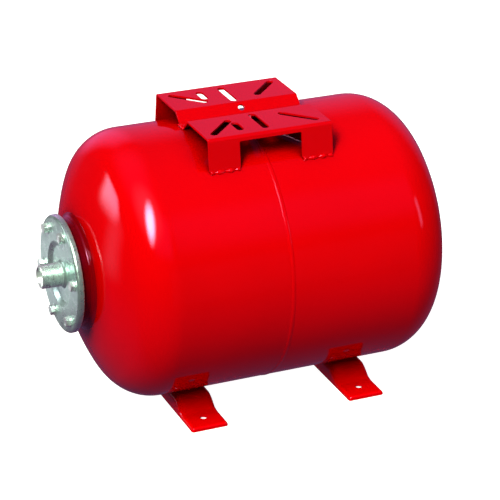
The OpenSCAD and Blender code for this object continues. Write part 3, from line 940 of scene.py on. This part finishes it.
# ---------------------------------------------------------------- studio
FLOOR_HALF = 15
floor_mesh = bpy.data.meshes.new("floor")
floor_mesh.from_pydata([(x * FLOOR_HALF, y * FLOOR_HALF, 0) for x, y in
                        ((-1, -1), (1, -1), (1, 1), (-1, 1))], [], [(0, 1, 2, 3)])
floor = new_object("floor", floor_mesh)
floor.location.z = -0.0003
pale, _, bsdf = node_material("pale floor")
bsdf.inputs["Base Color"].default_value = (0.45, 0.45, 0.45, 1)
bsdf.inputs["Roughness"].default_value = 0.9
bsdf.inputs["Specular IOR Level"].default_value = 0.0
bsdf.inputs["Emission Color"].default_value = (1, 1, 1, 1)
bsdf.inputs["Emission Strength"].default_value = 1.0
floor_mesh.materials.append(pale)
floor.visible_glossy = floor.visible_diffuse = floor.visible_shadow = False

world = bpy.data.worlds.new("studio")
bpy.context.scene.world = world
world.use_nodes = True
sky_tree = world.node_tree
background = sky_tree.nodes["Background"]
direction = add(sky_tree, "ShaderNodeTexCoord").outputs["Generated"]


def math_node(op, *values):
    node = add(sky_tree, "ShaderNodeMath", operation=op)
    for i, value in enumerate(values):
        if isinstance(value, (int, float)):
            node.inputs[i].default_value = value
        else:
            sky_tree.links.new(value, node.inputs[i])
    return node.outputs[0]


def sum_of(lights):
    total = lights[0]
    for light in lights[1:]:
        total = math_node("ADD", total, light)
    return total


def toward(az, el):
    """Unit vector to a point of the sky; az 0 is towards -Y and 90 towards +X."""
    az, el = radians(az), radians(el)
    return Vector((sin(az) * cos(el), -cos(az) * cos(el), sin(el)))


def dot_with(vector):
    node = add(sky_tree, "ShaderNodeVectorMath", operation="DOT_PRODUCT")
    sky_tree.links.new(direction, node.inputs[0])
    node.inputs[1].default_value = vector
    return node.outputs["Value"]


def blend_between(value, start, end, first, last):
    """Smooth step from first to last as a value goes from start to end."""
    node = add(sky_tree, "ShaderNodeMapRange", interpolation_type="SMOOTHSTEP")
    for i, number in enumerate((start, end, first, last)):
        node.inputs[i + 1].default_value = number
    sky_tree.links.new(value, node.inputs[0])
    return node.outputs[0]


def fade_out(value, start, end):
    return blend_between(value, start, end, 1.0, 0.0)


def offsets_from(az, el):
    """A front factor, and tangents of the sideways and upward offsets from a panel's centre."""
    centre = toward(az, el)
    across = Vector((cos(radians(az)), sin(radians(az)), 0))
    facing = dot_with(centre)
    safe = math_node("MAXIMUM", facing, 0.05)
    offsets = [math_node("DIVIDE", dot_with(axis), safe)
               for axis in (across, across.cross(-centre))]
    return fade_out(facing, 0.25, 0.05), offsets


def panel(az, el, half_wide, half_high, soft, light):
    """Radiance of a flat soft panel: half sizes and edge softness in degrees."""
    front, offsets = offsets_from(az, el)
    edges = [fade_out(math_node("ABSOLUTE", offset), tan(radians(max(half - soft, 0))),
                      tan(radians(half + soft)))
             for offset, half in zip(offsets, (half_wide, half_high))]
    return math_node("MULTIPLY", math_node("MULTIPLY", math_node("MULTIPLY", *edges), front), light)


def glow(az, el, half_wide, half_high, core, light):
    """Radiance of an oval soft light: full inside core, a share of the size, then fading."""
    front, offsets = offsets_from(az, el)
    squares = []
    for offset, half in zip(offsets, (half_wide, half_high)):
        share = math_node("DIVIDE", offset, tan(radians(half)))
        squares.append(math_node("MULTIPLY", share, share))
    reach = math_node("SQRT", math_node("ADD", *squares))
    return math_node("MULTIPLY", math_node("MULTIPLY", fade_out(reach, core, 1.0), front), light)


GLOWS = [
    (-49, 47, 13.0, 23.0, 0.15, 46.0),    # key soft box, high on the left
    (-56, 54, 34.0, 30.0, 0.10, 0.9),     # its spill
]
PANELS = [
    (-126.5, 10.0, 8.5, 6.5, 3.5, 5.4),   # side panel behind the water connection
    (-117, -6, 4.0, 9.0, 5.0, 0.5),       # low card beside it
    (48, 19, 3.0, 10.0, 3.0, 2.2),        # narrow strip on the right
]
ROSY_PANELS = [
    (180, 16, 12.0, 20.0, 8.0, 0.42),     # backdrop, its middle
    (152, 10, 34.0, 22.0, 14.0, 0.30),    # backdrop, its right half
    (-20, 42, 20.0, 16.0, 8.0, 0.24),     # faint front fills
    (32, 38, 10.0, 14.0, 8.0, 0.14),
    (-110, 64, 30.0, 20.0, 14.0, 0.20),   # ceiling
    (180, -55, 50.0, 30.0, 16.0, 0.05),   # floor behind the vessel
]
up_z = dot_with(Vector((0, 0, 1)))
high_sky = blend_between(up_z, 0.35, 1.0, 0.035, 0.10)
low_sky = math_node("MULTIPLY", fade_out(up_z, -0.55, -0.05), 0.035)
tinted = (
    (sum_of([high_sky, low_sky] + [panel(*spec) for spec in ROSY_PANELS]), (1.0, 0.40, 1.0)),
    (sum_of([panel(*spec) for spec in PANELS]), (1, 1, 1)),
    (sum_of([glow(*spec) for spec in GLOWS]), (1.0, 1.08, 0.82)))
lit = None
for light, colour in tinted:
    tint = add(sky_tree, "ShaderNodeVectorMath", operation="SCALE")
    tint.inputs[0].default_value = colour
    sky_tree.links.new(light, tint.inputs["Scale"])
    if lit is None:
        lit = tint.outputs[0]
        continue
    both = add(sky_tree, "ShaderNodeVectorMath", operation="ADD")
    sky_tree.links.new(lit, both.inputs[0])
    sky_tree.links.new(tint.outputs[0], both.inputs[1])
    lit = both.outputs[0]
# seen directly, the room is the same pale tone as the floor
room = add(sky_tree, "ShaderNodeMix", data_type="RGBA")
camera_ray = add(sky_tree, "ShaderNodeLightPath").outputs["Is Camera Ray"]
sky_tree.links.new(camera_ray, room.inputs["Factor"])
sky_tree.links.new(lit, room.inputs[6])
room.inputs[7].default_value = (1, 1, 1, 1)
sky_tree.links.new(room.outputs[2], background.inputs["Color"])
background.inputs["Strength"].default_value = 1.0
world.cycles.sampling_method = "MANUAL"
world.cycles.sample_map_resolution = 1024


def area_light(name, energy, size, place, aim):
    """Rectangular light at a place, shining along aim."""
    ob = new_object(name, bpy.data.lights.new(name, "AREA"))
    ob.data.shape, ob.data.size, ob.data.size_y = "RECTANGLE", *size
    ob.data.energy = energy
    ob.location = place
    ob.rotation_euler = aim.to_track_quat("-Z", "Y").to_euler()
    return ob


FILLS = (
    ("front_fill", 20.0, Vector((0.5, -3.1, 0.15))),
    ("right_fill", 34.0, Vector((3.2, 0.7, 0.30))),
    ("rear_fill", 28.0, Vector((-0.7, 3.2, 0.30))))
for name, energy, place in FILLS:
    fill = area_light(name, energy, (2.4, 1.6), place, Vector((0, 0, 0.2)) - place)
    fill.visible_glossy = False

# low card beside the water connection: the counter-flange's face mirrors it
FLANGE_MIDDLE, CARD_DISTANCE = Vector((-0.284, 0, 0.203)), 0.42
from_flange = toward(-157, -23)
card = area_light("flange_card", 0.072, (0.26, 0.14),
                  FLANGE_MIDDLE + from_flange * CARD_DISTANCE, -from_flange)
card.visible_camera = False

bpy.context.scene.view_settings.view_transform = "Standard"
